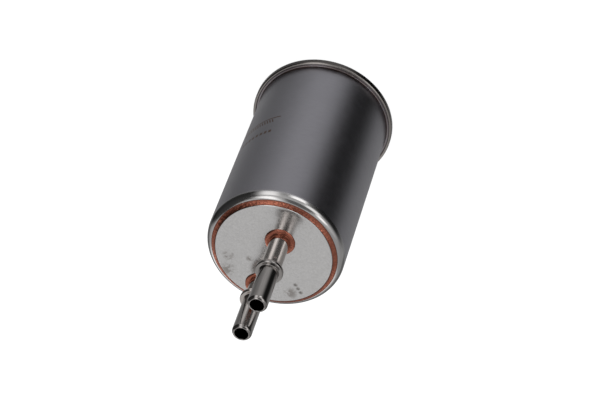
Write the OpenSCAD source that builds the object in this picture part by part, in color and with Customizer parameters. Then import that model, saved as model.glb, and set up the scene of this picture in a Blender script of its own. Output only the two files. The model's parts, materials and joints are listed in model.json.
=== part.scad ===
// In-line fuel filter in a drawn stainless can.
// The can stands on its rolled rim: Z = 0 is the rim's resting face, the two
// tubes point up, and the Z axis is the axis of the can. Millimetres.

/* [Can] */
// Outer diameter of the can
body_d = 55; // [46:1:75]
// Height of the port plate's outer face above the resting face
plate_h = 93.9; // [75:0.1:140]
// Thickness of the can's sheet
shell_t = 0.8; // [0.6:0.05:1.1]
// Outer radius of the rounded shoulder
shoulder_r = 3.6; // [2.8:0.1:4.5]
// How far the can's flange reaches out under the rolled rim
flange_reach = 1.1; // [0.9:0.05:1.5]
// Inside radius of the bend from the wall into the flange
flange_bend = 0.4; // [0.2:0.05:0.6]

/* [End cover] */
// Thickness of the cover's sheet
cover_t = 0.7; // [0.5:0.05:0.9]
// Thickness of the seal that the rim squeezes
seal_t = 0.4; // [0.3:0.05:0.6]
// Open groove between the can and the edge of the curl
groove_w = 0.65; // [0.4:0.05:0.85]
// Rounding of the rim's outer edges
rim_round = 1; // [0.7:0.05:1.2]
// How far the panel is recessed into the can
panel_recess = 3.1; // [2.5:0.1:6]
// How far the pad in the middle of the panel stands back out
pad_step = 0.7; // [0.5:0.05:1.1]

/* [Port plate] */
// Thickness of the port plate
plate_t = 1.15; // [0.9:0.05:1.8]
// Rounding of the plate's outer edge
plate_round = 0.25; // [0.1:0.05:0.4]
// Flat land of the shoulder outside the plate
plate_margin = 0.55; // [0.3:0.05:1]
// How far the plate laps over the can's inward lip
plate_lap = 1.9; // [1.4:0.1:2.8]
// Width of the copper fillet round the plate
fillet_w = 1.95; // [1.4:0.05:2.4]

/* [Tubes] */
// Outer diameter of both tubes
tube_d = 7.89; // [6.3:0.01:9.5]
// Bore of both tubes
tube_bore = 5.5; // [4:0.1:6]
// Radius of the rounded nose at a tube's tip
nose_r = 1.6; // [1.3:0.05:2]
// Height of the outlet's tip above the port plate
outlet_len = 39.3; // [30:0.1:50]
// Height of the inlet's tip above the port plate
inlet_len = 30.5; // [24:0.1:42]
// Distance of the outlet's axis from the can's axis
outlet_offset = 6.9; // [4.5:0.1:8.3]
// Sideways shift of the outlet's axis
outlet_shift = -0.8; // [-2:0.1:2]
// Sideways shift of the inlet's axis
inlet_shift = 1.1; // [-2:0.1:2]

/* [Beads and copper collars] */
// Diameter of a bead
bead_d = 11; // [9.5:0.1:12.5]
// Distance from a bead's middle to the tube's tip
bead_to_tip = 20.7; // [14:0.1:24]
// Width of a bead along the tube
bead_w = 1.75; // [1.2:0.05:2.4]
// Rounding of a bead's edges
bead_round = 0.55; // [0.3:0.05:0.6]
// Radius of the round copper ridge of the outlet's collar
outlet_ridge_r = 1; // [0.7:0.05:1.1]
// Radius of the round copper ridge of the inlet's collar, which stands close to the plate's edge
inlet_ridge_r = 0.8; // [0.6:0.05:0.85]
// Width of the dip between that ridge and the tube
collar_dip_w = 0.15; // [0.05:0.05:0.3]
// Height of the copper in that dip
collar_dip_h = 0.25; // [0.15:0.05:0.4]
// Gap for molten copper between a tube and its hole
braze_gap = 0.05; // [0.03:0.01:0.08]

/* [Filter element] */
// Flow gap between the element's caps and the can
flow_gap = 2.3; // [1.5:0.1:3.5]
// Thickness of the element caps' sheet
cap_t = 0.5; // [0.4:0.05:0.7]
// Depth of the caps' skirts
skirt_h = 2.8; // [2.5:0.1:5]
// Thickness of the glue that holds the pleat ends
potting_t = 2; // [1:0.1:2.4]
// Head space between the top cap and the can's lip
head_space = 3.7; // [3:0.1:6]
// Diameter of the stand-off dimples on the top cap
standoff_d = 2; // [1.4:0.1:2.2]
// Wall of the perforated core
core_t = 0.5; // [0.4:0.05:0.8]
// Diameter of the core's holes
core_hole_d = 3; // [2:0.1:4]
// Number of pleats
pleats = 38; // [30:1:42]
// Thickness of the pleated paper
paper_t = 0.4; // [0.3:0.05:0.5]
// Thickness of the clip over the closing pleat
clip_t = 0.3; // [0.2:0.05:0.4]
// Share of the pleat's depth that the clip's legs reach down
clip_reach = 0.52; // [0.3:0.01:0.7]
// Height of a spacer band round the pleats
band_h = 3.5; // [2:0.5:8]
// Thickness of a spacer band
band_t = 0.3; // [0.2:0.05:0.5]

/* [Outlet seal] */
// Wall of the rubber grommet
grommet_wall = 1.5; // [1.2:0.05:1.8]
// Height of the grommet
grommet_h = 5.5; // [4:0.1:8]
// Running clearance of the grommet on the tube
grommet_fit = 0.04; // [0.02:0.01:0.08]
// Thickness of the retainer washer over the grommet
retainer_t = 0.7; // [0.5:0.05:1]
// How far the outlet tube reaches past the grommet
tube_reach = 1.4; // [1:0.1:3]

/* [Support spring] */
// Mean radius of the spring's coils
spring_r = 10; // [8:0.1:12]
// Diameter of the spring's wire
spring_wire = 1.3; // [1:0.1:1.7]
// Working height of the spring
spring_h = 10; // [8:0.1:15]
// Open turns between the closed ends
spring_turns = 2.5; // [2:0.5:3]

/* [Hidden] */
$fn = 96;

// Small overrun of a cutting shape past the face it cuts
over = 1;
// Clearance that keeps loose inner pieces apart
loose = 0.05;
// Clearance round the outlet tube where it passes the metal of the top cap
pass_gap = 0.5;

// Can and rolled rim, from the resting face upwards
body_r = body_d / 2;
wall_in_r = body_r - shell_t;
flange_z = cover_t + seal_t;
flange_r = body_r + flange_reach;
rim_r = flange_r + seal_t + cover_t;
rim_h = flange_z + shell_t + cover_t;
curl_in_r = body_r + groove_w;
curl_round = cover_t / 3;

// Port end
lip_z = plate_h - plate_t;
plate_r = body_r - shoulder_r - plate_margin;
lip_in_r = plate_r - plate_lap;
fillet_out_r = plate_r + fillet_w;

// Cover panel
chuck_in_r = wall_in_r - cover_t;
panel_bend = 2 * cover_t;
pad_r = spring_r + spring_wire / 2 + 4;
spring_seat_z = panel_recess - pad_step + cover_t;

// Tube places. The inlet stands just inside the can's lip.
tube_r = tube_d / 2;
inlet_lip_gap = 0.2;
inlet_axis_r = lip_in_r - tube_r - inlet_lip_gap;
outlet_at = [outlet_shift, -outlet_offset];
inlet_at = [inlet_shift, sqrt(pow(inlet_axis_r, 2) - pow(inlet_shift, 2))];
inlet_inner_z = lip_z - 1.5;

// Element, between the spring and the can's lip
cap_r = wall_in_r - flow_gap;
cap_in_r = cap_r - cap_t;
bottom_cap_z = spring_seat_z + spring_h;
top_cap_z = lip_z - shell_t - head_space;
media_z0 = bottom_cap_z + cap_t + potting_t;
media_z1 = top_cap_z - cap_t - potting_t;
media_out_r = cap_in_r - 0.1;

// Outlet seal, in the pocket of the top cap
grommet_r = tube_r + grommet_wall;
pocket_r = grommet_r + cap_t;
pocket_floor_z = top_cap_z - cap_t - retainer_t - grommet_h - cap_t;
outlet_inner_z = pocket_floor_z - tube_reach;

// Core, wide enough to clear the pocket
pocket_gap = 0.35;
core_in_r = norm(outlet_at) + pocket_r + pocket_gap;
core_r = core_in_r + core_t;
media_in_r = core_r + 0.3;

// Pleats. The fold shift gives a sloping wall the paper's thickness.
pleat_half_angle = atan((PI * (media_in_r + media_out_r) / 2 / pleats) / (media_out_r - media_in_r));
fold_shift = paper_t / sin(pleat_half_angle);
seam_fold_r = media_out_r - clip_t - loose;

// ---- Profile helpers: all lie in the (radius, height) plane ----

// Waste outside a rounded outer corner at [x, y]; sx and sy say which way the corner points
module corner_waste(x, y, r, sx = 1, sy = 1) {
  translate([x - sx * r, y - sy * r])
    difference() {
      translate([sx > 0 ? 0 : -r - over, sy > 0 ? 0 : -r - over]) square(r + over);
      circle(r);
    }
}

// Web that rounds an inner corner at [x, y]; sx and sy say to which side it lies
module corner_web(x, y, r, sx = 1, sy = 1) {
  difference() {
    translate([sx > 0 ? x : x - r, sy > 0 ? y : y - r]) square(r);
    translate([x + sx * r, y + sy * r]) circle(r);
  }
}

// Ring of rectangular section
module ring(r_in, r_out, z0, z1) {
  rotate_extrude()
    translate([r_in, z0]) square([r_out - r_in, z1 - z0]);
}

// Closed can profile with a rounded top corner
module can_profile(r, z1, round_r) {
  difference() {
    square([r, z1]);
    corner_waste(r, z1, round_r);
  }
}

// ---- Can ----

module shell() {
  color("#77777b")
  rotate_extrude() {
    difference() {
      can_profile(body_r, lip_z, shoulder_r);
      can_profile(wall_in_r, lip_z - shell_t, shoulder_r - shell_t);
      translate([0, lip_z - shell_t - over]) square([lip_in_r, shell_t + 2 * over]);
      square([body_r + over, flange_z]);
    }
    difference() {
      union() {
        translate([wall_in_r, flange_z]) square([flange_r - wall_in_r, shell_t]);
        corner_web(body_r, flange_z + shell_t, flange_bend);
      }
      corner_waste(wall_in_r, flange_z, flange_bend, -1, -1);
    }
  }
}

module port_plate() {
  color("#a8a8a6")
  difference() {
    rotate_extrude()
      difference() {
        translate([0, lip_z]) square([plate_r, plate_t]);
        corner_waste(plate_r, plate_h, plate_round);
      }
    translate([outlet_at.x, outlet_at.y, lip_z - over])
      cylinder(r = tube_r + braze_gap, h = plate_t + 2 * over);
    translate([inlet_at.x, inlet_at.y, lip_z - over])
      cylinder(r = tube_r + braze_gap, h = plate_t + 2 * over);
  }
}

// Copper between the plate's edge and the shoulder. Its hollow face starts just under the
// plate's outer face and runs out onto the rounded shoulder, touching it without a step.
module plate_braze() {
  shoulder_at = [body_r - shoulder_r, lip_z - shoulder_r];
  top = [plate_r, plate_h - plate_round];
  foot_angle = acos((fillet_out_r - shoulder_at.x) / shoulder_r);
  out = [cos(foot_angle), sin(foot_angle)];
  foot = shoulder_at + shoulder_r * out;
  drop = foot - top;
  hollow_r = -(drop * drop) / (2 * drop * out);
  // The copper is thin, so its arcs are drawn finer than the rest
  fine = 480;
  color("#9c5a3c")
  rotate_extrude()
    difference() {
      polygon([[plate_r, foot.y], top, foot]);
      can_profile(body_r, lip_z, shoulder_r, $fn = fine);
      translate(foot + hollow_r * out) circle(hollow_r, $fn = fine);
    }
}

// ---- Tubes ----

// Tube with a beaded quick-connect end: z0 is its inner end, tip its outer end. The nose is an
// arc that meets the chamfer of the bore exactly at the tip.
module beaded_tube(z0, tip) {
  bore_r = tube_bore / 2;
  bore_edge = 0.2;
  lip_r = bore_r + bore_edge;
  nose_rise = nose_r - sqrt(pow(nose_r, 2) - pow(max(0, lip_r - tube_r + nose_r), 2));
  bead_r = bead_d / 2;
  bead_z = tip - bead_to_tip - bead_w / 2;
  color("#8f8c8a")
  rotate_extrude()
    difference() {
      union() {
        difference() {
          translate([0, z0]) square([tube_r, tip + nose_rise - z0]);
          corner_waste(tube_r, tip + nose_rise, nose_r);
        }
        difference() {
          translate([0, bead_z]) square([bead_r, bead_w]);
          corner_waste(bead_r, bead_z + bead_w, bead_round);
          corner_waste(bead_r, bead_z, bead_round, 1, -1);
        }
      }
      translate([-over, z0 - over]) square([bore_r + over, tip - z0 + 2 * over]);
      polygon([
        [0, tip - bore_edge], [bore_r, tip - bore_edge],
        [lip_r, tip], [lip_r, tip + over], [0, tip + over]
      ]);
    }
}

module outlet_tube() translate(outlet_at) beaded_tube(outlet_inner_z, plate_h + outlet_len);

module inlet_tube() translate(inlet_at) beaded_tube(inlet_inner_z, plate_h + inlet_len);

// Copper collar on the plate round a tube: a round ridge with a dip next to the tube
module braze_collar(ridge_r) {
  ridge_at = tube_r + collar_dip_w + ridge_r;
  color("#9c5a3c")
  rotate_extrude()
    intersection() {
      translate([tube_r, plate_h]) square([collar_dip_w + 2 * ridge_r, ridge_r]);
      union() {
        translate([ridge_at, plate_h]) circle(ridge_r);
        translate([tube_r, plate_h]) square([ridge_at - tube_r, collar_dip_h]);
      }
    }
}

module outlet_braze() translate(outlet_at) braze_collar(outlet_ridge_r);

module inlet_braze() translate(inlet_at) braze_collar(inlet_ridge_r);

// ---- End cover ----

// Sheet disc of thickness t from z0 up, whose middle is stepped down by step within radius r
module stepped_sheet(z0, t, edge_r, r, step) {
  bend = t / 2;
  difference() {
    translate([0, z0]) square([edge_r, t]);
    translate([-over, z0 + t - step]) square([r + over, step + over]);
  }
  difference() {
    translate([0, z0 - step]) square([r + t, step + t / 2]);
    translate([-over, z0 - step + t]) square([r + over, step + t]);
    corner_waste(r + t, z0 - step, bend, 1, -1);
  }
}

module end_cover() {
  color("#5c5956")
  rotate_extrude() {
    // Rolled rim: bottom, outer wall and curl round the flange and its seal
    difference() {
      translate([chuck_in_r, 0]) square([rim_r - chuck_in_r, rim_h]);
      corner_waste(rim_r, rim_h, rim_round);
      corner_waste(rim_r, 0, rim_round, 1, -1);
      translate([wall_in_r, cover_t]) square([rim_r - cover_t - wall_in_r, rim_h - 2 * cover_t]);
      translate([wall_in_r, cover_t]) square([curl_in_r - wall_in_r, rim_h]);
      corner_waste(curl_in_r, rim_h, curl_round, -1, 1);
      corner_waste(chuck_in_r, 0, curl_round, -1, -1);
      translate([chuck_in_r - over, panel_recess]) square([cover_t + over, rim_h]);
    }
    // Chuck wall up the inside of the can, and the bend into the panel
    difference() {
      translate([0, curl_round]) square([wall_in_r, panel_recess + cover_t - curl_round]);
      corner_waste(wall_in_r, panel_recess + cover_t, panel_bend);
      difference() {
        translate([-over, -over]) square([chuck_in_r + over, panel_recess + over]);
        corner_waste(chuck_in_r, panel_recess, panel_bend - cover_t);
      }
      translate([-over, -over]) square([chuck_in_r - panel_bend + over, panel_recess + cover_t + 2 * over]);
    }
    stepped_sheet(panel_recess, cover_t, chuck_in_r - panel_bend, pad_r, pad_step);
  }
}

// Seal of sprayed-on compound, squeezed under and outside the flange
module seam_seal() {
  color("#2b2b2b")
  union() {
    ring(wall_in_r + flange_bend, flange_r + seal_t, cover_t, flange_z);
    ring(flange_r, flange_r + seal_t, flange_z - over / 10, flange_z + shell_t);
  }
}

// ---- Support spring ----

// Height of the wire's middle after a number of turns: closed end, open turns, closed end
function spring_z(turn) =
  let(total = spring_turns + 2, rise = spring_h - 3 * spring_wire - 2 * loose)
  spring_wire / 2 + loose
  + spring_wire * (min(turn, 1) + max(turn - total + 1, 0))
  + rise * min(max(turn - 1, 0), spring_turns) / spring_turns;

module support_spring() {
  sides = 8;
  steps = 28;
  total = spring_turns + 2;
  rings = total * steps;
  points = [
    for (i = [0:rings], k = [0:sides - 1])
      let(a = 360 * i / steps, b = 360 * k / sides, r = spring_r + spring_wire / 2 * cos(b))
      [r * cos(a), r * sin(a), spring_seat_z + spring_z(i / steps) + spring_wire / 2 * sin(b)]
  ];
  walls = [
    for (i = [0:rings - 1], k = [0:sides - 1])
      let(j = (k + 1) % sides)
      [i * sides + k, i * sides + j, (i + 1) * sides + j, (i + 1) * sides + k]
  ];
  first_end = [for (k = [sides - 1:-1:0]) k];
  last_end = [for (k = [0:sides - 1]) rings * sides + k];
  color("#8a8a8a")
  polyhedron(points, concat([first_end], walls, [last_end]), convexity = 8);
}

// ---- Filter element ----

module element_bottom_cap() {
  boss_r = spring_r - spring_wire / 2 - 0.3 - cap_t;
  color("#9a9a92")
  rotate_extrude() {
    stepped_sheet(bottom_cap_z, cap_t, cap_r, boss_r, 1.5);
    translate([cap_in_r, bottom_cap_z]) square([cap_t, skirt_h]);
  }
}

module element_top_cap() {
  standoffs = 4;
  standoff_at = (lip_in_r + body_r - shoulder_r) / 2;
  color("#9a9a92") {
    difference() {
      union() {
        rotate_extrude() {
          translate([0, top_cap_z - cap_t]) square([cap_r, cap_t]);
          translate([cap_in_r, top_cap_z - skirt_h]) square([cap_t, skirt_h]);
        }
        translate([outlet_at.x, outlet_at.y, pocket_floor_z])
          cylinder(r = pocket_r, h = top_cap_z - pocket_floor_z);
        for (i = [0:standoffs - 1])
          rotate(45 + 360 * i / standoffs)
            translate([standoff_at, 0, top_cap_z - cap_t / 2])
              cylinder(d = standoff_d, h = head_space + cap_t / 2);
      }
      translate([outlet_at.x, outlet_at.y, pocket_floor_z + cap_t])
        cylinder(r = grommet_r, h = top_cap_z - pocket_floor_z + over);
      translate([outlet_at.x, outlet_at.y, pocket_floor_z - over])
        cylinder(r = tube_r + pass_gap, h = 2 * over + cap_t);
    }
  }
}

module outlet_grommet() {
  color("#1f1f1f")
  translate(outlet_at)
    ring(tube_r + grommet_fit, grommet_r,
         pocket_floor_z + cap_t, pocket_floor_z + cap_t + grommet_h);
}

module grommet_retainer() {
  z0 = pocket_floor_z + cap_t + grommet_h;
  color("#b0b0aa")
  translate(outlet_at)
    ring(tube_r + pass_gap, grommet_r, z0, z0 + retainer_t);
}

module potting(z0) {
  color("#c9a15a")
  ring(core_r + loose, cap_in_r - loose, z0, z0 + potting_t);
}

module bottom_potting() potting(bottom_cap_z + cap_t);

module top_potting() potting(media_z1);

// Zigzag outline: folds lie at outer(i) and inner, half a pleat apart
function zigzag(outer, seam_outer, inner) = [
  for (i = [0:pleats - 1], half = [0:1])
    let(r = half == 1 ? inner : (i == 0 ? seam_outer : outer), a = 360 * (i + half / 2) / pleats)
    r * [cos(a), sin(a)]
];

module pleated_media() {
  height = media_z1 - media_z0;
  color("#e3cf9a")
  difference() {
    translate([0, 0, media_z0])
      linear_extrude(height)
        polygon(zigzag(media_out_r, seam_fold_r, media_in_r + fold_shift));
    translate([0, 0, media_z0 - over])
      linear_extrude(height + 2 * over)
        polygon(zigzag(media_out_r - fold_shift, seam_fold_r - fold_shift, media_in_r));
  }
}

// Folded metal strip over the pleat where the paper's two ends meet
module media_clip() {
  slope = atan2((media_in_r + fold_shift) * sin(180 / pleats),
                seam_fold_r - (media_in_r + fold_shift) * cos(180 / pleats));
  // Half widths of a wedge that lies d outside the pleat's wall, at distance x from the axis
  function half_w(x, d) = (seam_fold_r - x) * tan(slope) + d / cos(slope);
  leg_x = seam_fold_r - clip_reach * (seam_fold_r - media_in_r - fold_shift);
  tip_x = seam_fold_r + loose;
  color("#b5b5b0")
  translate([0, 0, bottom_cap_z + skirt_h + loose])
    linear_extrude(top_cap_z - bottom_cap_z - 2 * skirt_h - 2 * loose)
      polygon([
        [leg_x, half_w(leg_x, loose)], [leg_x, half_w(leg_x, loose + clip_t)],
        [tip_x, half_w(tip_x, loose + clip_t)], [tip_x + clip_t - loose, 0],
        [tip_x, -half_w(tip_x, loose + clip_t)],
        [leg_x, -half_w(leg_x, loose + clip_t)], [leg_x, -half_w(leg_x, loose)],
        [tip_x, -half_w(tip_x, loose)], [tip_x, half_w(tip_x, loose)]
      ]);
}

// Two bands that keep the pleats evenly spread
module pleat_bands() {
  color("#d8d8d0")
  for (share = [1/3, 2/3]) {
    z = media_z0 + (media_z1 - media_z0) * share - band_h / 2;
    ring(media_out_r, media_out_r + band_t, z, z + band_h);
  }
}

module core_tube() {
  z0 = bottom_cap_z + cap_t;
  z1 = top_cap_z - cap_t;
  row_pitch = 2 * core_hole_d;
  rows = floor((z1 - z0 - 4 * potting_t) / row_pitch);
  first_z = (z0 + z1) / 2 - (rows - 1) * row_pitch / 2;
  color("#b8b8b4")
  difference() {
    ring(core_in_r, core_r, z0, z1);
    for (row = [0:rows - 1], k = [0:2])
      translate([0, 0, first_z + row * row_pitch])
        rotate([90, 0, 60 * k + 30 * (row % 2)])
          cylinder(d = core_hole_d, h = 2 * core_r + 2 * over, center = true);
  }
}

shell();
port_plate();
plate_braze();
outlet_tube();
inlet_tube();
outlet_braze();
inlet_braze();
end_cover();
seam_seal();
support_spring();
element_bottom_cap();
bottom_potting();
pleated_media();
media_clip();
pleat_bands();
core_tube();
top_potting();
element_top_cap();
outlet_grommet();
grommet_retainer();
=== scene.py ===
# %% [markdown]
# # A fuel filter, finished for close-up pictures
# The real object is a drawn stainless can. A port plate with two tubes is brazed on one end with
# copper, and a cover is rolled on the other end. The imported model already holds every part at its
# real size, so this lesson only adds the looks: finer meshes for what the eye can see, and
# materials that show how each part was made. Everything is in metres, in the model's own frame:
# the can stands on its rolled rim, and Z is its axis.

import json
import math

import bmesh
import bpy
from mathutils import Matrix, Vector, noise


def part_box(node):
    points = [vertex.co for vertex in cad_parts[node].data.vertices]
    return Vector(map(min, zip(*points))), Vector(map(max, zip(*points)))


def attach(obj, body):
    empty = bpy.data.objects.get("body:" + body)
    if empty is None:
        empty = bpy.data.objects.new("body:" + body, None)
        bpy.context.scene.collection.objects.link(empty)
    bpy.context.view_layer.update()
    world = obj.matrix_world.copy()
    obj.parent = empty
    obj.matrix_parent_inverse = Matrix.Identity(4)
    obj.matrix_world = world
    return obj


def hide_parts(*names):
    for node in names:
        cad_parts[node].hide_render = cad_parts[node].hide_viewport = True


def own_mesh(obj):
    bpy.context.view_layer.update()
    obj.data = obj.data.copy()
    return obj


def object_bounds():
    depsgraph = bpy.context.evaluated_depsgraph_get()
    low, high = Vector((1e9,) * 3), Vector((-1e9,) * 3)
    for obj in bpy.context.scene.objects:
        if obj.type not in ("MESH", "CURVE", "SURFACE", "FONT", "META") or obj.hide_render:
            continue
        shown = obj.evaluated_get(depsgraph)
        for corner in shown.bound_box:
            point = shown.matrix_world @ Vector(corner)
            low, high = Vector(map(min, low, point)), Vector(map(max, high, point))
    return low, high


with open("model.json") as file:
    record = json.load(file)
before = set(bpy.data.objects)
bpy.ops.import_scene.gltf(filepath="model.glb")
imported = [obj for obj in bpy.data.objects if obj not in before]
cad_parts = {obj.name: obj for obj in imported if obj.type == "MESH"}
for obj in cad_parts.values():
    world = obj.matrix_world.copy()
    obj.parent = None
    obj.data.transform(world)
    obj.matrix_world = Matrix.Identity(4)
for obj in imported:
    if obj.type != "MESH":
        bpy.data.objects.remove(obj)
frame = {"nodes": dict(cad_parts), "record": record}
MM = 0.001
cad_low, cad_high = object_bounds()
scene = bpy.context.scene
print("model box in mm:", [round((h - l) / MM, 1) for l, h in zip(cad_low, cad_high)])

# %% [markdown]
# ## Camera
# The can is seen from the tube end, about 51 degrees above the level of its rolled rim, with the
# camera turned on its side so that the tubes point down to the left. A long lens keeps the can's
# sides nearly parallel. The camera is placed by what it looks at, from which side, and how far
# away it is, because those three stay easy to change.

# %% Camera
AIM = Vector((-2.53, 0, 56.64)) * MM
AIM_DISTANCE = 0.9026
TILT_FROM_DOWN = math.radians(38.64)
ROLL = math.radians(-160.02)
LENS_MM = 135
SENSOR_MM = 36

camera_data = bpy.data.cameras.new("camera")
camera_data.lens = LENS_MM
camera_data.sensor_width = SENSOR_MM
camera = bpy.data.objects.new("camera", camera_data)
scene.collection.objects.link(camera)
turn = Matrix.Rotation(TILT_FROM_DOWN, 4, "X") @ Matrix.Rotation(ROLL, 4, "Z")
look = Vector((0, math.sin(TILT_FROM_DOWN), -math.cos(TILT_FROM_DOWN)))
camera.matrix_world = Matrix.Translation(AIM - look * AIM_DISTANCE) @ turn
scene.camera = camera
print("camera at", [round(c, 3) for c in camera.matrix_world.translation])

# %% [markdown]
# ## Studio
# Bright metal shows nothing but its surroundings, so the studio is what gives it its form. Lamps
# could be built as glowing cards, but a painted sky is easier to steer: a soft grey shell all
# round, darker below, with a few soft bright panels and dark flags. Each of them is a patch of the
# sky, given by the direction of its middle and its half sizes, all in degrees. The place of a
# patch follows from the mirror it is meant for. The camera looks along +Y and 51 degrees down, so
# the can's wall, where it faces azimuth a, mirrors the sky at azimuth 2a + 90 and 51 degrees below
# the horizon. The first flag in the list is the dark streak down the wall. The floor is plain and
# pale, and glows a little so that shadows on it stay faint. Mirror rays pass through it, so that
# the can shows the painted sky below and not a flat white floor.

# %% Node helpers
def add_node(tree, kind, inputs=(), **settings):
    """A node of that kind, with its settings, and its inputs either linked or set."""
    node = tree.nodes.new(kind)
    for name, value in settings.items():
        setattr(node, name, value)
    for socket, value in dict(inputs).items():
        if isinstance(value, bpy.types.NodeSocket):
            tree.links.new(value, node.inputs[socket])
        else:
            node.inputs[socket].default_value = value
    return node


def math_node(tree, operation, a, b=0.0):
    return add_node(tree, "ShaderNodeMath", {0: a, 1: b}, operation=operation).outputs[0]


def vector_node(tree, operation, a, b=(0, 0, 0), result="Vector"):
    sockets = {0: a, 1: b}
    return add_node(tree, "ShaderNodeVectorMath", sockets, operation=operation).outputs[result]


def product(tree, first, *others):
    """All the values multiplied; of masks, the part where every one holds."""
    for other in others:
        first = math_node(tree, "MULTIPLY", first, other)
    return first


def ramp(tree, value, low, high, out_low=0.0, out_high=1.0):
    """value taken smoothly from out_low at low to out_high at high."""
    sockets = {"Value": value, "From Min": low, "From Max": high, "To Min": out_low, "To Max": out_high}
    mapped = add_node(tree, "ShaderNodeMapRange", sockets, interpolation_type="SMOOTHSTEP")
    return mapped.outputs["Result"]


# %% Painted sky
SKY_BELOW = 0.36
SKY_ABOVE = 0.62
# Elevations between which the sky turns from the lower tone to the upper one
SKY_TURNS = (-25, 40)
BACKDROP = 0.92
# Middle azimuth and elevation, half width, half height, softness, then the light it adds
PANELS = [
    (-97, -12, 7, 14, 8, 1.45),
    (-122, 25, 8, 9, 9, 0.85),
    (-145, 43, 7, 5, 8, 1.30),
    (-57, -2, 4, 20, 14, 0.95),
    (-43, 57, 9, 8, 16, 1.25),
    (-72, -60, 4, 10, 46, 0.26),
    (76, 12, 8, 8, 14, 0.95),
    (122, 24, 8, 6, 10, 0.60),
]
# The same, but the last number is the share of the light that is left
FLAGS = [
    (-148, -45, 8, 32, 52, 0.05),
    (-1, 10, 29, 34, 17, 0.08),
    (-106, 58, 24, 14, 12, 0.22),
    (90, -20, 60, 12, 12, 0.45),
    (150, 38, 26, 26, 16, 0.70),
    (12, -52, 10, 8, 26, 0.72),
]


def sky_patch(tree, azimuth, elevation, patch):
    """How much of that patch covers each direction, from 0 to 1 with soft edges."""
    middle_az, middle_el, half_w, half_h, soft, _ = patch
    off = math_node(tree, "SUBTRACT", azimuth, middle_az)
    off = add_node(tree, "ShaderNodeMath", {0: off, 1: 180, 2: -180}, operation="WRAP").outputs[0]
    across = math_node(tree, "ABSOLUTE", off)
    up = math_node(tree, "ABSOLUTE", math_node(tree, "SUBTRACT", elevation, middle_el))
    in_width = ramp(tree, across, half_w, half_w + soft, 1, 0)
    in_height = ramp(tree, up, half_h, half_h + soft, 1, 0)
    return product(tree, in_width, in_height)


def paint_sky():
    world = bpy.data.worlds.new("studio")
    world.use_nodes = True
    tree = world.node_tree
    tree.nodes.clear()
    direction = add_node(tree, "ShaderNodeTexCoord").outputs["Generated"]
    axes = add_node(tree, "ShaderNodeSeparateXYZ", {0: direction}).outputs
    azimuth = math_node(tree, "DEGREES", math_node(tree, "ARCTAN2", axes["Y"], axes["X"]))
    elevation = math_node(tree, "DEGREES", math_node(tree, "ARCSINE", axes["Z"]))
    light = ramp(tree, elevation, *SKY_TURNS, SKY_BELOW, SKY_ABOVE)
    for flag in FLAGS:
        cover = sky_patch(tree, azimuth, elevation, flag)
        keep = ramp(tree, cover, 0, 1, 1, flag[-1])
        light = product(tree, light, keep)
    for panel in PANELS:
        glow = product(tree, sky_patch(tree, azimuth, elevation, panel), panel[-1])
        light = math_node(tree, "ADD", light, glow)
    seen = add_node(tree, "ShaderNodeLightPath").outputs["Is Camera Ray"]
    plain = add_node(tree, "ShaderNodeMix", {0: seen, 2: light, 3: BACKDROP}).outputs[0]
    background = add_node(tree, "ShaderNodeBackground", {"Color": (1, 1, 1, 1), "Strength": plain})
    add_node(tree, "ShaderNodeOutputWorld", {"Surface": background.outputs[0]})
    scene.world = world
    print("sky:", len(PANELS), "bright panels,", len(FLAGS), "dark flags")


paint_sky()

# %% Floor and overhead lamp
FLOOR_HALF = 3.0
FLOOR_GAP = 0.05 * MM
FLOOR_TONE = (0.22, 0.22, 0.22, 1)
FLOOR_ROUGHNESS = 0.9
FLOOR_GLOW = 0.8
OVERHEAD_WATTS = 26
OVERHEAD_WIDTH = 1.6
OVERHEAD_HEIGHT = 1.5


def lay_floor():
    mesh = bpy.data.meshes.new("floor")
    sides = [(-1, -1), (1, -1), (1, 1), (-1, 1)]
    corners = [(x * FLOOR_HALF, y * FLOOR_HALF, cad_low.z - FLOOR_GAP) for x, y in sides]
    mesh.from_pydata(corners, [], [(0, 1, 2, 3)])
    floor = bpy.data.objects.new("floor", mesh)
    scene.collection.objects.link(floor)
    paint = bpy.data.materials.new("floor_paint")
    paint.use_nodes = True
    shader = paint.node_tree.nodes["Principled BSDF"]
    shader.inputs["Base Color"].default_value = FLOOR_TONE
    shader.inputs["Emission Color"].default_value = (1, 1, 1, 1)
    shader.inputs["Emission Strength"].default_value = FLOOR_GLOW
    shader.inputs["Roughness"].default_value = FLOOR_ROUGHNESS
    shader.inputs["Specular IOR Level"].default_value = 0.0
    mesh.materials.append(paint)
    floor.visible_glossy = False


def hang_lamp():
    lamp = bpy.data.lights.new("overhead", "AREA")
    lamp.shape = "DISK"
    lamp.size = OVERHEAD_WIDTH
    lamp.energy = OVERHEAD_WATTS
    holder = bpy.data.objects.new("overhead", lamp)
    holder.location = (0, 0, OVERHEAD_HEIGHT)
    scene.collection.objects.link(holder)
    holder.visible_glossy = False
    holder.visible_camera = False


lay_floor()
hang_lamp()
scene.view_settings.view_transform = "Standard"

# %% [markdown]
# ## Effects that several finishes share
# Sheet metal is never even. Three effects come back in most finishes here, so each is one node
# group: a fine grain, which can be stretched along the way the metal was drawn; soft patches,
# for oxide, handling and dirt; and a band between two heights with soft ends, for heat tint and
# for polished or rubbed zones. The groups only put out masks and heights. What they mean is
# decided in each material.

# %% Group builder
def new_group(name, inputs, outputs):
    """An empty shader group with float inputs (name: default) and float outputs."""
    tree = bpy.data.node_groups.new(name, "ShaderNodeTree")
    for socket, default in inputs.items():
        made = tree.interface.new_socket(socket, in_out="INPUT", socket_type="NodeSocketFloat")
        made.default_value = default
    for socket in outputs:
        tree.interface.new_socket(socket, in_out="OUTPUT", socket_type="NodeSocketFloat")
    return tree, tree.nodes.new("NodeGroupInput"), tree.nodes.new("NodeGroupOutput")


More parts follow.
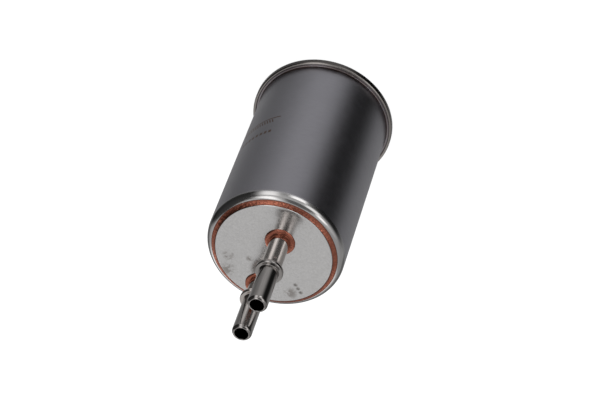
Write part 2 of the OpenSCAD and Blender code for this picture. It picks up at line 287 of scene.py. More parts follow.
def place(tree):
    """Position on the object, in millimetres."""
    sockets = {0: add_node(tree, "ShaderNodeTexCoord").outputs["Object"], "Scale": 1 / MM}
    return add_node(tree, "ShaderNodeVectorMath", sockets, operation="SCALE").outputs["Vector"]


def flat_place(tree):
    """The same with its height taken away."""
    return vector_node(tree, "MULTIPLY", place(tree), (1, 1, 0))


def cloud(tree, at, scale, detail, roughness=0.55):
    """Smooth noise from 0 to 1 at that many features per millimetre."""
    sockets = {"Vector": at, "Scale": scale, "Detail": detail, "Roughness": roughness}
    return add_node(tree, "ShaderNodeTexNoise", sockets).outputs["Fac"]


# %% Grain group
GRAIN_FINER = 3.7
GRAIN_COARSE_SHARE = 0.6
GRAIN_RANGE = (0.32, 0.68)


def grain_group():
    """Two noises, one finer than the other; Stretch draws both out along the axis."""
    inputs = {"Scale": 2.0, "Stretch": 1.0}
    tree, given, result = new_group("metal_grain", inputs, ("Tone", "Height"))
    squeeze = add_node(tree, "ShaderNodeCombineXYZ", {0: 1.0, 1: 1.0})
    tree.links.new(math_node(tree, "DIVIDE", 1.0, given.outputs["Stretch"]), squeeze.inputs[2])
    at = vector_node(tree, "MULTIPLY", place(tree), squeeze.outputs[0])
    coarse = cloud(tree, at, given.outputs["Scale"], 4)
    fine = cloud(tree, at, product(tree, given.outputs["Scale"], GRAIN_FINER), 3)
    coarse = product(tree, coarse, GRAIN_COARSE_SHARE)
    fine = product(tree, fine, 1 - GRAIN_COARSE_SHARE)
    both = math_node(tree, "ADD", coarse, fine)
    tree.links.new(ramp(tree, both, *GRAIN_RANGE), result.inputs["Tone"])
    tree.links.new(both, result.inputs["Height"])
    return tree


# %% Patch group
PATCH_DETAIL = 5
PATCH_ROUGHNESS = 0.62


def patch_group():
    inputs = {"Scale": 0.1, "Cover": 0.5, "Softness": 0.1}
    tree, given, result = new_group("soft_patches", inputs, ("Mask",))
    spread = cloud(tree, place(tree), given.outputs["Scale"], PATCH_DETAIL, PATCH_ROUGHNESS)
    low = math_node(tree, "SUBTRACT", given.outputs["Cover"], given.outputs["Softness"])
    high = math_node(tree, "ADD", given.outputs["Cover"], given.outputs["Softness"])
    tree.links.new(ramp(tree, spread, low, high), result.inputs["Mask"])
    return tree


# %% Height band group
def band_group():
    inputs = {"Low": 0.0, "Full": 1.0, "Fade": 2.0, "End": 3.0}
    tree, given, result = new_group("height_band", inputs, ("Mask",))
    height = add_node(tree, "ShaderNodeSeparateXYZ", {0: place(tree)}).outputs["Z"]
    rise = ramp(tree, height, given.outputs["Low"], given.outputs["Full"])
    fall = ramp(tree, height, given.outputs["Fade"], given.outputs["End"], 1, 0)
    tree.links.new(product(tree, rise, fall), result.inputs["Mask"])
    return tree


GRAIN = grain_group()
PATCHES = patch_group()
BAND = band_group()


def use_group(tree, group, **inputs):
    """The group placed in a material, with its inputs set by name."""
    node = tree.nodes.new("ShaderNodeGroup")
    node.node_tree = group
    for name, value in inputs.items():
        node.inputs[name].default_value = value
    return node.outputs


def height_band(tree, heights):
    """Mask that rises between the first two heights, in millimetres, and falls between the others."""
    return use_group(tree, BAND, **dict(zip(("Low", "Full", "Fade", "End"), heights)))["Mask"]


def mix_colour(tree, factor, a, b):
    """Colour a where factor is 0 and colour b where it is 1."""
    node = add_node(tree, "ShaderNodeMix", data_type="RGBA")
    for socket, value in ((node.inputs[0], factor), (node.inputs[6], a), (node.inputs[7], b)):
        if isinstance(value, bpy.types.NodeSocket):
            tree.links.new(value, socket)
        else:
            socket.default_value = value if socket is node.inputs[0] else (*value, 1)
    return node.outputs[2]


print("groups:", [g.name for g in bpy.data.node_groups])

# %% [markdown]
# ## Finishes
# Every finish starts from one Principled shader. Steel here differs mostly in how dark the
# furnace left it and how rough the tools left it, so colour and roughness do most of the work,
# and the bump stays very small.

# %% Material helper
FINISHES = {}


def start_finish(name, roughness, metallic=1.0):
    """A material and its Principled shader. Most finishes vary the roughness later on."""
    material = bpy.data.materials.new(name)
    material.use_nodes = True
    tree = material.node_tree
    shader = tree.nodes["Principled BSDF"]
    shader.inputs["Metallic"].default_value = metallic
    shader.inputs["Roughness"].default_value = roughness
    FINISHES[name] = material
    return tree, shader


def link_bump(tree, shader, height, depth_mm):
    """Fine relief: height from 0 to 1 stands for depth_mm."""
    sockets = {"Height": height, "Distance": depth_mm * MM, "Strength": 1.0}
    bump = add_node(tree, "ShaderNodeBump", sockets)
    tree.links.new(bump.outputs["Normal"], shader.inputs["Normal"])


# %% [markdown]
# ### Can
# The can is deep drawn: a satin wall with faint lines round it from the ironing ring, and a
# shoulder that the punch radius left smooth. The brazing furnace darkened it to a cool grey and
# left a thin brown tint just above the rolled rim. The plain etched marks on the side stand in
# for a maker's marking: a long thin line, a row of short slanted strokes beside it, and a row of
# bars.

# %% Etched marks
# Where the marks begin and end round the can, in degrees, and the heights of the rows in millimetres
MARK_ANGLE = (-54, -15)
LINE_ROW = (37.6, 40.9)
BAR_ROW = (46.6, 48.4)
# Shares of the row's height: the line's thickness, and where the strokes above it begin
LINE_SHARE = 0.2
STROKE_FOOT = 0.32
# Shares of the way round: where the first stroke and the first bar may begin
STROKE_START = 0.14
BAR_START = 0.1
# How many there are, the etched share of each step, and how far a stroke leans, in steps
STROKES = 15
STROKE_SHARE = 0.5
STROKE_SLANT = 0.9
BARS = 9
BAR_SHARE = 0.62


def ramp_straight(tree, value, low, high):
    """value as a share of the way from low to high, not clamped."""
    sockets = {"Value": value, "From Min": low, "From Max": high}
    return add_node(tree, "ShaderNodeMapRange", sockets, clamp=False).outputs["Result"]


def within(tree, value, low, high):
    """1 where value lies between low and high, and 0 elsewhere."""
    off = math_node(tree, "ABSOLUTE", math_node(tree, "SUBTRACT", value, (low + high) / 2))
    return math_node(tree, "LESS_THAN", off, (high - low) / 2)


def repeated(tree, value, share):
    """1 over the first share of every whole step of value, and 0 elsewhere."""
    return math_node(tree, "LESS_THAN", math_node(tree, "FRACT", value), share)


def etched_marks(tree):
    """Mask of the line, the strokes and the bars, from angle and height on the can."""
    axes = add_node(tree, "ShaderNodeSeparateXYZ", {0: place(tree)}).outputs
    angle = math_node(tree, "DEGREES", math_node(tree, "ARCTAN2", axes["Y"], axes["X"]))
    along = ramp_straight(tree, angle, *MARK_ANGLE)
    up = ramp_straight(tree, axes["Z"], *LINE_ROW)
    line = product(tree, within(tree, up, 0, LINE_SHARE), within(tree, along, 0, 1))
    leaning = math_node(tree, "ADD", product(tree, along, STROKES), product(tree, up, STROKE_SLANT))
    strokes = product(tree, repeated(tree, leaning, STROKE_SHARE), within(tree, up, STROKE_FOOT, 1),
                      within(tree, along, STROKE_START, 1))
    up = ramp_straight(tree, axes["Z"], *BAR_ROW)
    bars = product(tree, repeated(tree, product(tree, along, BARS), BAR_SHARE), within(tree, up, 0, 1),
                   within(tree, along, BAR_START, 1))
    return math_node(tree, "MAXIMUM", math_node(tree, "MAXIMUM", line, strokes), bars)


# %% Can finish
CAN_TONE = (0.335, 0.329, 0.360)
CAN_DARK = (0.303, 0.298, 0.326)
HEAT_TINT = (0.23, 0.135, 0.09)
ETCH_TONE = (0.16, 0.10, 0.075)
SHOULDER_TONE = (0.54, 0.53, 0.525)
# How much of each tone shows where its mask is full; the tint varies between two shares
WORN_SHARE = 0.45
HEAT_SHARE = (0.15, 0.55)
ETCH_SHARE = 0.9
# Heights in millimetres of the heat tint and of the smooth shoulder
HEAT_BAND = (1.8, 2.0, 2.6, 4.0)
SHOULDER_BAND = (88.7, 90.7, 110.0, 111.0)
WALL_ROUGH = (0.30, 0.37)
SHOULDER_ROUGH = (0.13, 0.17)
CAN_RELIEF = 0.0025


def can_finish():
    tree, shader = start_finish("can_steel", roughness=0.34)
    fine = use_group(tree, GRAIN, Scale=0.30, Stretch=0.22)
    worn = use_group(tree, PATCHES, Scale=0.07, Cover=0.52, Softness=0.12)["Mask"]
    blotch = use_group(tree, PATCHES, Scale=0.16, Cover=0.45, Softness=0.12)["Mask"]
    heat = product(tree, height_band(tree, HEAT_BAND), ramp(tree, blotch, 0, 1, *HEAT_SHARE))
    shoulder = height_band(tree, SHOULDER_BAND)
    tone = mix_colour(tree, fine["Tone"], CAN_DARK, CAN_TONE)
    tone = mix_colour(tree, product(tree, worn, WORN_SHARE), tone, CAN_DARK)
    tone = mix_colour(tree, heat, tone, HEAT_TINT)
    tone = mix_colour(tree, product(tree, etched_marks(tree), ETCH_SHARE), tone, ETCH_TONE)
    tone = mix_colour(tree, shoulder, tone, SHOULDER_TONE)
    tree.links.new(tone, shader.inputs["Base Color"])
    satin = ramp(tree, fine["Tone"], 0, 1, *WALL_ROUGH)
    polished = ramp(tree, fine["Tone"], 0, 1, *SHOULDER_ROUGH)
    rough = add_node(tree, "ShaderNodeMix", {0: shoulder, 2: satin, 3: polished}).outputs[0]
    tree.links.new(rough, shader.inputs["Roughness"])
    link_bump(tree, shader, fine["Height"], CAN_RELIEF)


can_finish()

# %% [markdown]
# ### Port plate
# The plate was blanked from rolled sheet and came out of the furnace matte and light, with a
# fine mottled grain. Handling left a few grey smudges, and one more soft dark spot beside a tube
# is painted shade. Each is a soft spot round a place, broken up by the patch group.

# %% Port plate finish
PLATE_TONE = (0.70, 0.69, 0.685)
PLATE_DARK = (0.58, 0.57, 0.565)
DOT_TONE = (0.16, 0.145, 0.13)
# Tone of the grey smudges and of the painted shade beside a tube
SMUDGE_AND_SHADE_TONE = (0.26, 0.235, 0.215)
# Three dots of a centre punch, places on the plate in millimetres
PUNCH_DOTS = [(-12.2, 11.0), (-13.7, 12.4), (-15.2, 13.8)]
PUNCH_R = 0.5 * MM
# Place on the plate in millimetres, and how far each spot reaches; the spot at (8.0, 6.3) is painted
# shade beside a tube, the others are smudges
SMUDGES_AND_SHADE = [((16.4, 8.4), 3.3), ((14.8, 15.2), 4.4), ((8.0, 6.3), 2.2), ((-11.5, 15.9), 3.8)]
# Share of its reach over which a spot is full, and how much of it shows, least and most
SOFT_SPOT_CORE = 0.2
SMUDGE_AND_SHADE_SHARE = (0.12, 0.75)
# Dirt round a punch dot reaches that many times as far as the dot
DOT_REACH = 2.4
DOT_SHARE = 0.8
PLATE_ROUGH = (0.15, 0.22)
PLATE_RELIEF = 0.010


def soft_spot_mask(tree, spots):
    """Mask of soft round spots, each given by its place and its reach."""
    total = 0.0
    for (x, y), reach in spots:
        away = vector_node(tree, "DISTANCE", flat_place(tree), (x, y, 0), result="Value")
        total = math_node(tree, "MAXIMUM", ramp(tree, away, SOFT_SPOT_CORE * reach, reach, 1, 0), total)
    return total


def plate_finish():
    tree, shader = start_finish("plate_steel", roughness=0.2)
    fine = use_group(tree, GRAIN, Scale=1.4, Stretch=1.0)
    tone = mix_colour(tree, fine["Tone"], PLATE_DARK, PLATE_TONE)
    broken = use_group(tree, PATCHES, Scale=0.42, Cover=0.50, Softness=0.10)["Mask"]
    # Smudges, and painted shade beside a tube, darken the tone here
    dirt_and_shade = product(tree, soft_spot_mask(tree, SMUDGES_AND_SHADE), ramp(tree, broken, 0, 1, *SMUDGE_AND_SHADE_SHARE))
    tone = mix_colour(tree, dirt_and_shade, tone, SMUDGE_AND_SHADE_TONE)
    dots = soft_spot_mask(tree, [(dot, DOT_REACH * PUNCH_R / MM) for dot in PUNCH_DOTS])
    tone = mix_colour(tree, product(tree, dots, DOT_SHARE), tone, DOT_TONE)
    tree.links.new(tone, shader.inputs["Base Color"])
    tree.links.new(ramp(tree, fine["Tone"], 0, 1, *PLATE_ROUGH), shader.inputs["Roughness"])
    link_bump(tree, shader, fine["Height"], PLATE_RELIEF)


plate_finish()

# %% [markdown]
# ### Copper
# Furnace copper flows like a thin syrup and sets with a fine sandy skin. It is a dull red
# brown. The dark line along both edges of the ring round the plate, where it meets plate and
# shoulder, is painted shade.

# %% Copper finish
COPPER_TONE = (0.53, 0.19, 0.12)
COPPER_DARK = (0.25, 0.083, 0.056)
# Colour of the painted shade in the creases at both edges of the ring
COPPER_CREASE_SHADE = (0.10, 0.045, 0.035)
# Radii in millimetres between which the fillet has no painted shade, and how wide the painted shade at
# its edges is
FILLET_UNSHADED = (23.7, 24.7)
FILLET_EDGE = 0.4
OXIDE_SHARE = 0.4
CREASE_SHADE_SHARE = 0.7
# Roughness where the grain is dark and where it is light
COPPER_ROUGH = (0.40, 0.18)
COPPER_RELIEF = 0.06


def copper_finish():
    tree, shader = start_finish("copper", roughness=0.42)
    fine = use_group(tree, GRAIN, Scale=2.0, Stretch=1.0)
    oxide = use_group(tree, PATCHES, Scale=0.35, Cover=0.5, Softness=0.12)["Mask"]
    tone = mix_colour(tree, fine["Tone"], COPPER_DARK, COPPER_TONE)
    tone = mix_colour(tree, product(tree, oxide, OXIDE_SHARE), tone, COPPER_DARK)
    radius = vector_node(tree, "LENGTH", flat_place(tree), result="Value")
    inner, outer = FILLET_UNSHADED
    outside = ramp(tree, radius, outer, outer + FILLET_EDGE)
    # The painted shade line stops a little way in, so that it stays off the collars
    on_fillet = math_node(tree, "GREATER_THAN", radius, inner - 2 * FILLET_EDGE)
    inside = product(tree, ramp(tree, radius, inner - FILLET_EDGE, inner, 1, 0), on_fillet)
    # Painted shade along both edges of the fillet, where it meets plate and shoulder
    edge = product(tree, math_node(tree, "MAXIMUM", outside, inside), CREASE_SHADE_SHARE)
    tone = mix_colour(tree, edge, tone, COPPER_CREASE_SHADE)
    tree.links.new(tone, shader.inputs["Base Color"])
    tree.links.new(ramp(tree, fine["Tone"], 0, 1, *COPPER_ROUGH), shader.inputs["Roughness"])
    link_bump(tree, shader, fine["Height"], COPPER_RELIEF)


copper_finish()

# %% [markdown]
# ### Tubes and rolled rim
# The tubes are drawn and polished, so their fine lines run along them. A lighter, warmer tone near
# their feet is painted reflection, which brightens the streaks they mirror. The rim went through the
# seaming rolls: darker, smoother, with a bronze cast, and a lighter band along its crest is a painted
# highlight.

# %% Steel finishes
FILM_SHARE = 0.2
# Heights in millimetres of the tubes' painted lighter feet and of the rim's painted crest highlight
SHANK_BAND = (93.0, 94.0, 107.0, 113.5)
CREST_BAND = (2.1, 2.4, 5.0, 6.0)


def steel_finish(name, light, dark, rough, scale, stretch, depth, painted_highlight_tone=None, heights=None):
    """The lighter tone, where given, is painted light between the four heights of a band: a painted
    highlight on the rim's crest and painted reflection on the tubes' feet.
    """
    tree, shader = start_finish(name, roughness=sum(rough) / 2)
    fine = use_group(tree, GRAIN, Scale=scale, Stretch=stretch)
    film = use_group(tree, PATCHES, Scale=0.12, Cover=0.5, Softness=0.15)["Mask"]
    tone = mix_colour(tree, fine["Tone"], dark, light)
    tone = mix_colour(tree, product(tree, film, FILM_SHARE), tone, dark)
    # A lighter tone in the band paints a highlight on the rim's crest and reflection on the tubes' feet
    if painted_highlight_tone:
        tone = mix_colour(tree, height_band(tree, heights), tone, painted_highlight_tone)
    tree.links.new(tone, shader.inputs["Base Color"])
    tree.links.new(ramp(tree, fine["Tone"], 0, 1, rough[1], rough[0]), shader.inputs["Roughness"])
    link_bump(tree, shader, fine["Height"], depth)


# The tubes' lighter, warmer feet are painted reflection, which brightens the streaks they mirror
steel_finish("tube_steel", (0.37, 0.352, 0.34), (0.31, 0.292, 0.283), (0.06, 0.10), 1.8, 16.0, 0.003,
             painted_highlight_tone=(0.54, 0.50, 0.475), heights=SHANK_BAND)
# The rim's lighter crest band is a painted highlight
steel_finish("rim_steel", (0.125, 0.116, 0.112), (0.100, 0.092, 0.088), (0.20, 0.24), 1.5, 1.0, 0.001,
             painted_highlight_tone=(0.33, 0.305, 0.29), heights=CREST_BAND)
steel_finish("spring_steel", (0.42, 0.42, 0.42), (0.30, 0.30, 0.30), (0.24, 0.34), 2.5, 1.0, 0.004)
steel_finish("cap_steel", (0.66, 0.66, 0.64), (0.54, 0.54, 0.52), (0.26, 0.38), 1.2, 1.0, 0.005)

# %% [markdown]
# ### Soft and hidden parts
# Nothing inside the can shows in a picture, but each part is finished as if the can were cut
# open: resin paper with its fibres, amber glue, fleece bands and black rubber.

# %% Soft finishes
def soft_finish(name, light, dark, rough, scale, stretch, depth):
    tree, shader = start_finish(name, metallic=0.0, roughness=rough)
    fine = use_group(tree, GRAIN, Scale=scale, Stretch=stretch)
    tree.links.new(mix_colour(tree, fine["Tone"], dark, light), shader.inputs["Base Color"])
    link_bump(tree, shader, fine["Height"], depth)


soft_finish("filter_paper", (0.80, 0.67, 0.38), (0.66, 0.52, 0.27), 0.85, 1.4, 3.0, 0.05)
soft_finish("potting_glue", (0.62, 0.42, 0.16), (0.50, 0.31, 0.10), 0.35, 0.5, 1.0, 0.03)
soft_finish("band_fleece", (0.74, 0.74, 0.70), (0.58, 0.58, 0.54), 0.9, 2.5, 1.0, 0.08)
soft_finish("seal_rubber", (0.022, 0.022, 0.022), (0.012, 0.012, 0.012), 0.55, 1.5, 1.0, 0.02)
soft_finish("seal_compound", (0.030, 0.028, 0.026), (0.018, 0.017, 0.016), 0.62, 1.0, 1.0, 0.03)
print("finishes:", sorted(FINISHES))

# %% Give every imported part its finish
for entry in frame["record"]["subparts"]:
    mesh = frame["nodes"][entry["node"]].data
    mesh.materials.clear()
    mesh.materials.append(FINISHES[entry["material_slot"]])

# %% [markdown]
# ## Turned shapes
# Nearly every part in view is round, so one helper does most of the modelling: it takes the
# outline of a section, as radius and height, and turns it round an upright axis. The outlines
# are drawn with real arcs, so that bends, beads and rolled edges catch the light as they should.

# %% Lathe helper
ROUND_STEPS = 192
# Below this radius a point counts as lying on the axis
ON_AXIS = 0.0001 * MM
CREASE = math.radians(38)


def arc(centre, radius, start, end, steps=8):
    """Points along an arc, angles in degrees, in the plane of radius and height."""
    turns = [math.radians(start + (end - start) * i / steps) for i in range(steps + 1)]
    return [(centre[0] + radius * math.cos(a), centre[1] + radius * math.sin(a)) for a in turns]


def straight(radius, low, high, parts):
    """Points up a straight wall, without its two ends."""
    return [(radius, low + (high - low) * i / parts) for i in range(1, parts)]


def lathe(name, outline, axis=(0.0, 0.0), steps=ROUND_STEPS, closed=True):
    """Mesh object of the outline turned round the axis; points on the axis become one pole."""
    form = bmesh.new()
    turns = [2 * math.pi * k / steps for k in range(steps)]
    rings = []
    for radius, height in outline:
        if radius < ON_AXIS:
            rings.append([form.verts.new((axis[0], axis[1], height))] * steps)
            continue
        places = [(axis[0] + radius * math.cos(a), axis[1] + radius * math.sin(a)) for a in turns]
        rings.append([form.verts.new((x, y, height)) for x, y in places])
    pairs = list(zip(rings, rings[1:])) + ([(rings[-1], rings[0])] if closed else [])
    for lower, upper in pairs:
        if lower[0] is lower[1] and upper[0] is upper[1]:
            continue
        for k in range(steps):
            corners = [lower[k], lower[(k + 1) % steps], upper[(k + 1) % steps], upper[k]]
            form.faces.new(list(dict.fromkeys(corners)))
    bmesh.ops.recalc_face_normals(form, faces=form.faces)
    return finish_mesh(name, form)


def finish_mesh(name, form):
    """Turns the bmesh into an object with smooth faces and sharp creases."""
    mesh = bpy.data.meshes.new(name)
    form.to_mesh(mesh)
    form.free()
    mesh.shade_smooth()
    mesh.set_sharp_from_angle(angle=CREASE)
    piece = bpy.data.objects.new(name, mesh)
    scene.collection.objects.link(piece)
    return piece


def waver(piece, touched, amount, waves_across, waves_up):
    """Moves touched points out or in by smooth noise of up to amount, with its waves per metre."""
    for vertex in piece.data.vertices:
        at = vertex.co
        radius = math.hypot(at.x, at.y)
        if touched(radius, at.z):
            there = Vector((at.x * waves_across, at.y * waves_across, at.z * waves_up))
            lift = noise.noise(there) * amount
            vertex.co = Vector((at.x * (1 + lift / radius), at.y * (1 + lift / radius), at.z))


def dress(piece, finish, body, *nodes):
    """Gives the piece its finish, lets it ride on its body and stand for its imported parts."""
    piece.data.materials.append(FINISHES[finish])
    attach(piece, body)
    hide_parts(*nodes)
    print(piece.name, "mm:", [round(side / MM, 2) for side in piece.dimensions],
          len(piece.data.polygons), "faces")


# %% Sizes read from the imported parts
def widest(node):
    low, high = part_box(node)
    return (high.x - low.x) / 2


mounts = {mount["name"]: mount for mount in frame["record"]["mounts"]}
BODY_R = mounts["body_strap"]["dims"]["r_mm"] * MM
PLATE_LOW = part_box("port_plate")[0].z
PLATE_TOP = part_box("port_plate")[1].z
PLATE_R = widest("port_plate")
# The can's sheet, the round of its shoulder, and how far its lip reaches in under the plate
SHEET = 0.8 * MM
SHOULDER_R = 3.6 * MM
LIP_OVERLAP = 1.9 * MM
FLANGE_R = widest("shell")
FLANGE_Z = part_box("shell")[0].z
sizes = {"can radius": BODY_R, "plate radius": PLATE_R, "plate top": PLATE_TOP}
print({name: round(size / MM, 2) for name, size in sizes.items()})

# %% [markdown]
# ### The can
# One sheet, so one outline: flange, bend, wall, shoulder and lip, outside and inside. The press
# leaves the wall some hundredths of a millimetre uneven. That is too little to see in its outline
# but enough to make a reflection waver, so the wall gets it as real relief.

# %% Can
FLANGE_BEND = 0.4 * MM
WALL_RINGS = 60
WALL_SKIN = 0.1 * MM
WALL_WAVE = 0.02 * MM


def make_can():
    bend = FLANGE_BEND
    lip_in = PLATE_R - LIP_OVERLAP
    wall_low = FLANGE_Z + SHEET + bend
    wall_high = PLATE_LOW - SHOULDER_R
    centre = (BODY_R - SHOULDER_R, wall_high)
    outline = [(FLANGE_R, FLANGE_Z), (FLANGE_R, FLANGE_Z + SHEET)]
    outline += arc((BODY_R + bend, wall_low), bend, 270, 180, 5)
    outline += straight(BODY_R, wall_low, wall_high, WALL_RINGS)
    outline += arc(centre, SHOULDER_R, 0, 90, 18)
    outline += [(lip_in, PLATE_LOW), (lip_in, PLATE_LOW - SHEET)]
    outline += arc(centre, SHOULDER_R - SHEET, 90, 0, 10)
    outline += arc((BODY_R - SHEET + bend, FLANGE_Z + bend), bend, 180, 270, 5)
    can = lathe("can", outline)

    def on_wall(radius, height):
        return radius > BODY_R - WALL_SKIN and wall_low < height < wall_high

    waver(can, on_wall, WALL_WAVE, waves_across=60, waves_up=14)
    dress(can, "can_steel", "can", "shell")


make_can()

# %% [markdown]
# ### The port plate
# A blanked disc has a rounded edge on the punch side and lies almost flat. The two holes for
# the tubes are cut with a boolean, as a punch would. Three small centre-punch dots near the
# edge are the kind of plain check mark that a press shop leaves.

# %% Port plate
PUNCH_DEPTH = 0.22 * MM
PLATE_ROUND = 0.25 * MM
# The mesh has wide rings in the middle and fine ones where the punch dots lie
WIDE_RING = 1.4 * MM
WIDE_RINGS = 10
FINE_RING = 0.2 * MM
FINE_RINGS = 32
FINE_FROM = 15.4 * MM
TUBE_R = mounts["outlet_port"]["dims"]["r_mm"] * MM
TUBE_GAP = 0.05 * MM
TUBES = {name: mounts[name + "_port"]["pos_m"][:2] for name in ("outlet", "inlet")}


def press_dots(plate):
    """Small round dents in the plate's upper face."""
    for vertex in plate.data.vertices:
        for x, y in PUNCH_DOTS:
            away = math.hypot(vertex.co.x - x * MM, vertex.co.y - y * MM)
            if away < PUNCH_R and vertex.co.z > (PLATE_LOW + PLATE_TOP) / 2:
                vertex.co.z -= PUNCH_DEPTH * (1 - (away / PUNCH_R) ** 2)


def punch_hole(plate, name, at, radius):
    low, high = PLATE_LOW - MM, PLATE_TOP + MM
    pin = [(0, low), (radius, low), (radius, high), (0, high)]
    punch = lathe(name + "_punch", pin, axis=at, steps=96, closed=False)
    cut = plate.modifiers.new(name, "BOOLEAN")
    cut.operation = "DIFFERENCE"
    cut.object = punch
    cut.solver = "EXACT"
    bpy.context.view_layer.objects.active = plate
    bpy.ops.object.modifier_apply(modifier=cut.name)
    bpy.data.objects.remove(punch)


def make_plate():
    rings = [i * WIDE_RING for i in range(1, WIDE_RINGS + 1)]
    rings += [FINE_FROM + i * FINE_RING for i in range(FINE_RINGS)]
    outline = [(0, PLATE_TOP)] + [(r, PLATE_TOP) for r in rings]
    outline += arc((PLATE_R - PLATE_ROUND, PLATE_TOP - PLATE_ROUND), PLATE_ROUND, 90, 0, 5)
    outline += [(PLATE_R, PLATE_LOW), (0, PLATE_LOW)]
    plate = lathe("port_plate_finished", outline, steps=480, closed=False)
    press_dots(plate)
    for name, at in TUBES.items():
        punch_hole(plate, name, at, TUBE_R + TUBE_GAP)
    dress(plate, "plate_steel", "can", "port_plate")


make_plate()

# %% [markdown]
# ### Copper fillet and collars
# A ring of copper wire melts into the corner between plate and shoulder and pulls itself into
# a hollow fillet; round each tube it sets as a soft ridge. Molten metal never stops on a
# perfect circle, so both are turned first and then pushed about by smooth noise. The noise fades
# out at the fillet's outer foot, so that the copper runs out on the shoulder without a step.

# %% Copper shapes
# How fast finer waves of the noise grow weak, how much finer each is, and how many there are
WOBBLE = (0.8, 2.1, 3)


def push_about(piece, amount, per_mm, lowest, still_from=1.0):
    """Smooth noise along the normals, fading out at radius still_from and never below lowest."""
    mesh = piece.data
    normals = [v.normal.copy() for v in mesh.vertices]
    for vertex, normal in zip(mesh.vertices, normals):
        calm = min(1, max(0, (still_from - math.hypot(vertex.co.x, vertex.co.y)) / MM))
        lift = noise.fractal(vertex.co / MM * per_mm, *WOBBLE) * amount * calm
        vertex.co += normal * lift
        vertex.co.z = max(vertex.co.z, lowest)


FILLET_W = 1.85 * MM
# How far the copper reaches past the plate's edge, below its top, and into the shoulder
FILLET_BITE = 0.05 * MM
FILLET_DROP = 0.2 * MM
FILLET_SINK = 0.12 * MM


def make_fillet():
    centre = (BODY_R - SHOULDER_R, PLATE_LOW - SHOULDER_R)
    foot_angle = math.degrees(math.acos((PLATE_R + FILLET_W - centre[0]) / SHOULDER_R))
    foot = arc(centre, SHOULDER_R, foot_angle, foot_angle, 1)[0]
    top = Vector((PLATE_R - FILLET_BITE, PLATE_TOP - FILLET_DROP))
    # The hollow face is an arc that leaves the shoulder without a step
    out = Vector((math.cos(math.radians(foot_angle)), math.sin(math.radians(foot_angle))))
    drop = Vector(foot) - top
    hollow_r = -drop.length_squared / (2 * drop.dot(out))
    hollow_at = Vector(foot) + hollow_r * out
    top_turn = math.degrees(math.atan2(top.y - hollow_at.y, top.x - hollow_at.x)) % 360
    outline = arc(hollow_at, hollow_r, top_turn, foot_angle + 180, 14)
    outline += arc(centre, SHOULDER_R - FILLET_SINK, foot_angle, 90, 6)
    outline += [(PLATE_R - FILLET_BITE, PLATE_LOW - FILLET_SINK)]
    fillet = lathe("copper_fillet", outline, steps=480)
    push_about(fillet, 0.07 * MM, 0.9, lowest=PLATE_LOW - 2 * MM, still_from=foot[0])
    dress(fillet, "copper", "can", "plate_braze")


# Where the ridge's crest lies between tube and foot, and how high it stands, as shares
CREST_SHARE = 0.32
CREST_HEIGHT = 0.85
# How far the ridge's arc runs on past its crest, down to where the copper clings to the tube
CLING_TURN = math.radians(122)
COLLAR_STEPS = 20
# How far the collar is sunk in the plate and in the tube, and its extra reach over two ridges
COLLAR_SINK = 0.08 * MM
COLLAR_BITE = 0.05 * MM
CLING_BITE = 0.03 * MM
CLING_DROP = 0.06 * MM
COLLAR_REACH = 0.15 * MM


def make_collar(name, at, ridge, node):
    reach = COLLAR_REACH + 2 * ridge
    crest = TUBE_R + CREST_SHARE * reach
    inner = (crest - TUBE_R - CLING_BITE) / -math.cos(CLING_TURN)
    outer = TUBE_R + reach - crest
    base = PLATE_TOP - COLLAR_SINK
    crest_z = CREST_HEIGHT * ridge
    cling_z = base + crest_z * math.sin(CLING_TURN) - CLING_DROP
    outline = [(TUBE_R - COLLAR_BITE, base), (TUBE_R - COLLAR_BITE, cling_z)]
    for step in range(COLLAR_STEPS + 1):
        turn = CLING_TURN * (1 - step / COLLAR_STEPS)
        half = inner if math.cos(turn) < 0 else outer
        outline.append((crest + half * math.cos(turn), base + crest_z * math.sin(turn)))
    collar = lathe(name, outline, axis=at, steps=144)
    push_about(collar, 0.08 * MM, 0.45, lowest=PLATE_TOP - 0.1 * MM)
    dress(collar, "copper", "can", node)


make_fillet()
make_collar("outlet_collar", TUBES["outlet"], 1.0 * MM, "outlet_braze")
make_collar("inlet_collar", TUBES["inlet"], 0.85 * MM, "inlet_braze")

# %% [markdown]
# ### The tubes
# Each tube is one turned outline, outside and bore. The bead is upset from the wall, so it has
# a soft crest and small fillets at its feet, and the nose is spun in to a thin bright lip.

# %% Tubes
# From the middle of the bead to the tip, then the bead, the bore and the rounded nose
BEAD_TO_TIP = 20.7 * MM
BEAD_HALF = 0.875 * MM
BEAD_R = 5.5 * MM
BEAD_ROUND = 0.5 * MM
BEAD_FOOT = 0.2 * MM
BORE_R = 2.75 * MM
BORE_EDGE = 0.2 * MM
NOSE_R = 1.6 * MM


